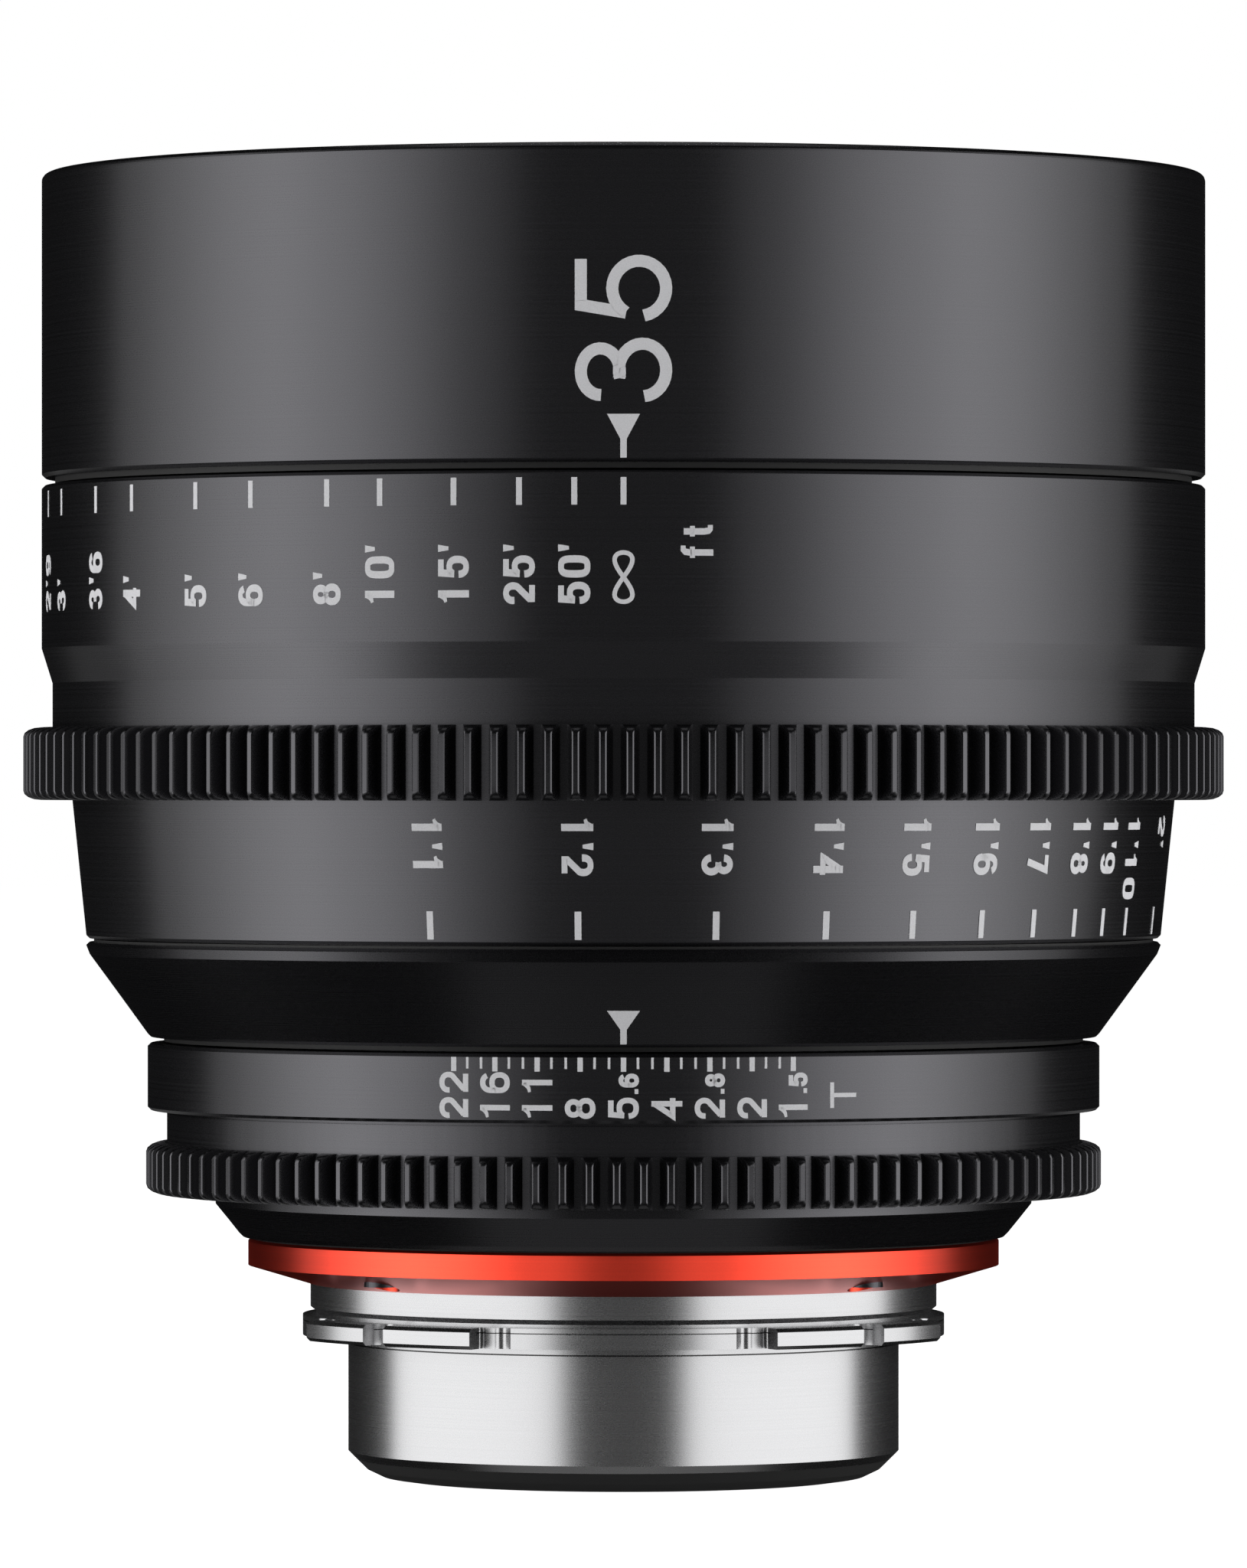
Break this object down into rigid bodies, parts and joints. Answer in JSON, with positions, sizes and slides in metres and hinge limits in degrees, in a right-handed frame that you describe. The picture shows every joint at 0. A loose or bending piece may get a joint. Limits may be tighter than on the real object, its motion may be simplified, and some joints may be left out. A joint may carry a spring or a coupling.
{
  "type": "cinema prime lens",
  "caption": "Cinema prime lens: geared focus ring that slides a glass group, geared iris ring that swings the iris blades, stepped front hood and a winged breech mount with a red ring.",
  "frame": {"origin": "centre of the mount's flange seat, on the optical axis", "axes": "+Z along the optical axis towards the scene; -Y faces the side with the index marks"},
  "size_m": [0.1176, 0.1176, 0.1276],
  "materials": {
    "black_anodised": "satin black anodised",
    "matt_black": "matt black",
    "red_anodised": "satin red anodised",
    "steel": "turned",
    "brass": "turned",
    "glass": "polished and coated",
    "bearing_polymer": "low-friction polymer",
    "dark_steel": "blackened"
  },
  "bodies": {
    "barrel": {"front_barrel": "black_anodised", "front_baffle": "matt_black", "front_retaining_ring": "matt_black", "front_cell": "black_anodised", "front_element": "glass", "second_element": "glass", "third_element": "glass", "front_spacer": "matt_black", "front_barrel_screws": "steel", "front_washer": "bearing_polymer", "main_barrel": "black_anodised", "index_cone": "black_anodised", "barrel_screws": "steel", "rear_washer": "bearing_polymer", "iris_washer": "bearing_polymer", "rear_barrel": "black_anodised", "iris_base_plate": "matt_black", "iris_retaining_ring": "matt_black", "iris_screws": "steel", "rear_cell": "black_anodised", "rear_element_1": "glass", "rear_element_2": "glass", "rear_element_3": "glass", "rear_spacer": "matt_black", "rear_retaining_ring": "matt_black", "mount_shim": "brass", "red_mount_ring": "red_anodised", "mount_screws": "dark_steel", "flange_screws": "steel", "lens_mount": "steel", "rear_baffle": "matt_black"},
    "focus_ring": {"focus_ring_front": "black_anodised", "focus_gear": "black_anodised", "focus_ring_rear": "black_anodised", "cam_sleeve": "dark_steel"},
    "focus_group": {"focus_cell": "black_anodised", "cam_rollers": "brass", "focus_element_1": "glass", "focus_element_2": "glass", "focus_element_3": "glass", "focus_spacer": "matt_black", "focus_retaining_ring": "matt_black"},
    "iris_ring": {"iris_ring": "black_anodised", "iris_gear": "black_anodised", "iris_drive_pin": "steel", "iris_drive_ring": "dark_steel"},
    "iris_blade_01": {"iris_blade_01": "dark_steel"},
    "iris_blade_02": {"iris_blade_02": "dark_steel"},
    "iris_blade_03": {"iris_blade_03": "dark_steel"},
    "iris_blade_04": {"iris_blade_04": "dark_steel"},
    "iris_blade_05": {"iris_blade_05": "dark_steel"},
    "iris_blade_06": {"iris_blade_06": "dark_steel"},
    "iris_blade_07": {"iris_blade_07": "dark_steel"},
    "iris_blade_08": {"iris_blade_08": "dark_steel"},
    "iris_blade_09": {"iris_blade_09": "dark_steel"},
    "iris_blade_10": {"iris_blade_10": "dark_steel"},
    "iris_blade_11": {"iris_blade_11": "dark_steel"}
  },
  "joints": [
    {"name": "focus_turn", "type": "hinge", "parent": "barrel", "child": "focus_ring", "pos_m": [0, 0, 0.06], "axis": [0, 0, 1], "range_deg": [0, 200]},
    {"name": "focus_slide", "type": "slide", "parent": "barrel", "child": "focus_group", "axis": [0, 0, 1], "range_m": [0, 0.006]},
    {"name": "iris_turn", "type": "hinge", "parent": "barrel", "child": "iris_ring", "pos_m": [0, 0, 0.021], "axis": [0, 0, 1], "range_deg": [-20, 20]},
    {"name": "iris_blade_01_swing", "type": "hinge", "parent": "barrel", "child": "iris_blade_01", "pos_m": [0.022, 0, 0.0225], "axis": [0, 0, 1], "range_deg": [-15.83, 15.83]},
    {"name": "iris_blade_02_swing", "type": "hinge", "parent": "barrel", "child": "iris_blade_02", "pos_m": [0.01851, 0.01189, 0.0225], "axis": [0, 0, 1], "range_deg": [-15.83, 15.83]},
    {"name": "iris_blade_03_swing", "type": "hinge", "parent": "barrel", "child": "iris_blade_03", "pos_m": [0.00914, 0.02001, 0.0225], "axis": [0, 0, 1], "range_deg": [-15.83, 15.83]},
    {"name": "iris_blade_04_swing", "type": "hinge", "parent": "barrel", "child": "iris_blade_04", "pos_m": [-0.00313, 0.02178, 0.0225], "axis": [0, 0, 1], "range_deg": [-15.83, 15.83]},
    {"name": "iris_blade_05_swing", "type": "hinge", "parent": "barrel", "child": "iris_blade_05", "pos_m": [-0.01441, 0.01663, 0.0225], "axis": [0, 0, 1], "range_deg": [-15.83, 15.83]},
    {"name": "iris_blade_06_swing", "type": "hinge", "parent": "barrel", "child": "iris_blade_06", "pos_m": [-0.02111, 0.0062, 0.0225], "axis": [0, 0, 1], "range_deg": [-15.83, 15.83]},
    {"name": "iris_blade_07_swing", "type": "hinge", "parent": "barrel", "child": "iris_blade_07", "pos_m": [-0.02111, -0.0062, 0.0225], "axis": [0, 0, 1], "range_deg": [-15.83, 15.83]},
    {"name": "iris_blade_08_swing", "type": "hinge", "parent": "barrel", "child": "iris_blade_08", "pos_m": [-0.01441, -0.01663, 0.0225], "axis": [0, 0, 1], "range_deg": [-15.83, 15.83]},
    {"name": "iris_blade_09_swing", "type": "hinge", "parent": "barrel", "child": "iris_blade_09", "pos_m": [-0.00313, -0.02178, 0.0225], "axis": [0, 0, 1], "range_deg": [-15.83, 15.83]},
    {"name": "iris_blade_10_swing", "type": "hinge", "parent": "barrel", "child": "iris_blade_10", "pos_m": [0.00914, -0.02001, 0.0225], "axis": [0, 0, 1], "range_deg": [-15.83, 15.83]},
    {"name": "iris_blade_11_swing", "type": "hinge", "parent": "barrel", "child": "iris_blade_11", "pos_m": [0.01851, -0.01189, 0.0225], "axis": [0, 0, 1], "range_deg": [-15.83, 15.83]}
  ],
  "couplings": [
    {"joint": "focus_slide", "follows": "focus_turn", "m_per_rad": 0.0017189},
    {"joint": "iris_blade_01_swing", "follows": "iris_turn", "ratio": 0.79133},
    {"joint": "iris_blade_02_swing", "follows": "iris_turn", "ratio": 0.79133},
    {"joint": "iris_blade_03_swing", "follows": "iris_turn", "ratio": 0.79133},
    {"joint": "iris_blade_04_swing", "follows": "iris_turn", "ratio": 0.79133},
    {"joint": "iris_blade_05_swing", "follows": "iris_turn", "ratio": 0.79133},
    {"joint": "iris_blade_06_swing", "follows": "iris_turn", "ratio": 0.79133},
    {"joint": "iris_blade_07_swing", "follows": "iris_turn", "ratio": 0.79133},
    {"joint": "iris_blade_08_swing", "follows": "iris_turn", "ratio": 0.79133},
    {"joint": "iris_blade_09_swing", "follows": "iris_turn", "ratio": 0.79133},
    {"joint": "iris_blade_10_swing", "follows": "iris_turn", "ratio": 0.79133},
    {"joint": "iris_blade_11_swing", "follows": "iris_turn", "ratio": 0.79133}
  ]
}
